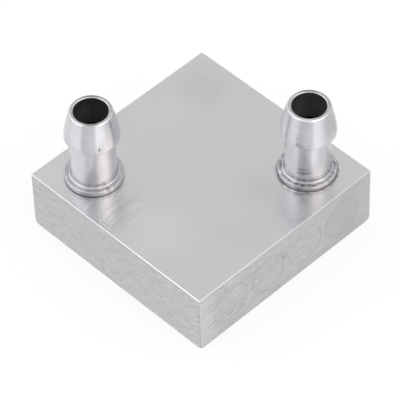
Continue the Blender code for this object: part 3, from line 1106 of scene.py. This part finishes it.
# Soft boxes and ground round the object. Bearings are in degrees to the right of the camera's, and
# rises are from -1, straight down, to 1, straight up. Each stretch has a fade at either end.
LEFT_BOX = ((-165.0, -110.0), (-36.0, -60.0))
LEFT_BOX_GLOW = 0.66
RIGHT_BOX = ((8.0, 28.0), (118.0, 56.0))
RIGHT_BOX_GLOW = 0.75
BETWEEN_BOXES = ((-50.0, -34.0), (30.0, 8.0))
BETWEEN_SHADE = 0.1
OVERHEAD_RISES = (1.0, 0.92)
SKY_LEVEL = 1.0
SKY_RISES = (0.0, 0.5)
GROUND_LEVEL = 0.86
SHALLOW_RISES = (-0.65, -0.5)
LEFT_GROUND = ((-110.0, -75.0), (-40.0, -46.0))
LEFT_GROUND_GLOW = 0.12
RIGHT_GROUND = ((12.0, 17.0), (70.0, 40.0))
RIGHT_GROUND_GLOW = 0.31
FAR_RIGHT_BEARINGS = (44.0, 80.0)
FAR_RIGHT_SHADE = 0.18
FRONT_GROUND = ((-46.0, -40.0), (17.0, 12.0))
FRONT_GROUND_SHADE = 0.17
FRONT_CLEARING_BEARINGS = (-28.0, 5.0)
FRONT_CLEARING = 0.1
WARM_RED = 0.04
WARM_BLUE = 0.08

# Key light, in metres and watts
KEY_PLACE = (0.15, -0.55, 0.6)
KEY_TARGET = (0.0, 0.0, 0.01)
KEY_SIZE = 0.45
KEY_POWER = 0.25


def studio_floor():
    """A pale floor that shows white and keeps a soft shadow. The metal mirrors the ground below."""
    shape = bmesh.new()
    corners = ((-1, -1), (1, -1), (1, 1), (-1, 1))
    shape.faces.new([shape.verts.new((x * FLOOR_HALF, y * FLOOR_HALF, 0.0)) for x, y in corners])
    mesh = bpy.data.meshes.new("studio_floor")
    shape.to_mesh(mesh)
    shape.free()
    floor = bpy.data.objects.new("studio_floor", mesh)
    bpy.context.scene.collection.objects.link(floor)
    floor.location.z = -FLOOR_DROP * MM

    material, finish = new_finish("pale_floor")
    mirrored = finish.ray("Glossy").most(finish.ray("Transmission"))
    matt = finish.node("BsdfDiffuse", None, {"Color": FLOOR_COLOUR})
    white = finish.node("Emission", None, {"Color": WHITE, "Strength": 1.0})
    clear = finish.node("BsdfTransparent", None, {"Color": WHITE})
    glow = finish.ray("Camera") * FLOOR_GLOW
    shown = finish.node("MixShader", None, {0: glow, 1: matt, 2: white})
    surface = finish.node("MixShader", None, {0: mirrored, 1: shown, 2: clear})
    finish.node("OutputMaterial", None, {"Surface": surface})
    dress(floor, material)


def stretch(finish, bearing, ends):
    """One within a stretch of bearings, fading out over either end."""
    first, last = ends
    return finish.fade(bearing, *first) * finish.fade(bearing, *last)


def studio_world():
    """Pale light all round, soft boxes beside the camera, and a pale ground that dims in front."""
    world = bpy.data.worlds.new("studio")
    bpy.context.scene.world = world
    finish = Finish(world)
    direction = finish.node("TexCoord", output="Generated")
    front = finish.dot(direction, TO_CAMERA)
    right = finish.dot(direction, TO_RIGHT)
    bearing = finish.bearing(front, right) * math.degrees(1)
    _, _, rise = finish.parts(direction)

    right_box = stretch(finish, bearing, RIGHT_BOX)
    boxes = stretch(finish, bearing, LEFT_BOX) * LEFT_BOX_GLOW + right_box * RIGHT_BOX_GLOW
    boxes = boxes - stretch(finish, bearing, BETWEEN_BOXES) * BETWEEN_SHADE
    sky = SKY_LEVEL + boxes * finish.fade(rise, *OVERHEAD_RISES)

    shallow = finish.fade(rise, *SHALLOW_RISES)
    ground = GROUND_LEVEL + stretch(finish, bearing, LEFT_GROUND) * shallow * LEFT_GROUND_GLOW
    ground = ground + stretch(finish, bearing, RIGHT_GROUND) * RIGHT_GROUND_GLOW
    clearing = finish.fade(bearing, *FRONT_CLEARING_BEARINGS) * FRONT_CLEARING
    ground = ground - stretch(finish, bearing, FRONT_GROUND) * (FRONT_GROUND_SHADE - clearing)
    ground = ground - finish.fade(bearing, *FAR_RIGHT_BEARINGS) * shallow * FAR_RIGHT_SHADE

    high = finish.fade(rise, *SKY_RISES)
    warmth = right_box * high
    tint = (1.0 + warmth * WARM_RED, 1.0, 1.0 - warmth * WARM_BLUE)
    glow = finish.colour(ground.toward(sky, high), tint)
    light = finish.node("Background", None, {"Color": glow, "Strength": 1.0})
    white = finish.node("Background", None, {"Color": WHITE, "Strength": 1.0})
    surface = finish.node("MixShader", None, {0: finish.ray("Camera"), 1: light, 2: white})
    finish.node("OutputWorld", None, {"Surface": surface})


def key_light():
    """A square soft light that faces the block from the front right."""
    lamp = bpy.data.lights.new("key_light", "AREA")
    lamp.shape = "SQUARE"
    lamp.size = KEY_SIZE
    lamp.energy = KEY_POWER
    holder = bpy.data.objects.new("key_light", lamp)
    bpy.context.scene.collection.objects.link(holder)
    holder.location = KEY_PLACE
    facing = Vector(KEY_PLACE) - Vector(KEY_TARGET)
    holder.rotation_euler = facing.to_track_quat("Z", "Y").to_euler()


def photo_camera():
    """The camera of the photograph."""
    turn = Matrix.Rotation(CAMERA_BEARING, 4, "Z")
    tilt = Matrix.Rotation(math.radians(90) - CAMERA_LOOK_DOWN, 4, "X")
    aim = turn @ tilt
    offset = aim @ Vector((CAMERA_SIDESTEP, CAMERA_RISE, CAMERA_DISTANCE))
    place = (offset + Vector((0.0, 0.0, MID_HEIGHT))) * MM
    lens = bpy.data.cameras.new("photo_camera")
    lens.sensor_width = SENSOR_WIDTH
    lens.lens = FOCAL_LENGTH_PIXELS / PHOTO_WIDTH_PIXELS * SENSOR_WIDTH
    lens.clip_start = NEAREST_SEEN
    camera = bpy.data.objects.new("photo_camera", lens)
    bpy.context.scene.collection.objects.link(camera)
    camera.matrix_world = Matrix.Translation(place) @ aim @ Matrix.Rotation(CAMERA_ROLL, 4, "Z")
    bpy.context.scene.camera = camera


def main():
    """Dress the block, add what the solids lack, and light it all."""
    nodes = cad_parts
    plate = block_finish()
    plug = plug_finish()
    dress(nodes["block_body"], plate)
    for number in range(1, len(CHANNEL_PLACES) + 1):
        dress(nodes[f"channel_plug_{number}"], plug)
    for number in range(1, len(GALLERY_PLACES) + 1):
        dress(nodes[f"gallery_plug_{number}"], plug)
    inlet = nozzle_finish(
        "turned_inlet", INLET_FOOT, INLET_LEAN, INLET_LEVEL, INLET_MARKS, INLET_WEAR
    )
    outlet = nozzle_finish(
        "turned_outlet", OUTLET_FOOT, OUTLET_LEAN, OUTLET_LEVEL, OUTLET_MARKS, OUTLET_WEAR
    )
    hose_nozzle("inlet_nozzle", INLET_FOOT, INLET_LEAN, inlet)
    hose_nozzle("outlet_nozzle", OUTLET_FOOT, OUTLET_LEAN, outlet)
    plug_seams(plate)
    outlet_staking(staking_finish())
    inlet_fill(plate)

    studio_floor()
    studio_world()
    key_light()
    photo_camera()
    bpy.context.scene.view_settings.view_transform = "Standard"


main()
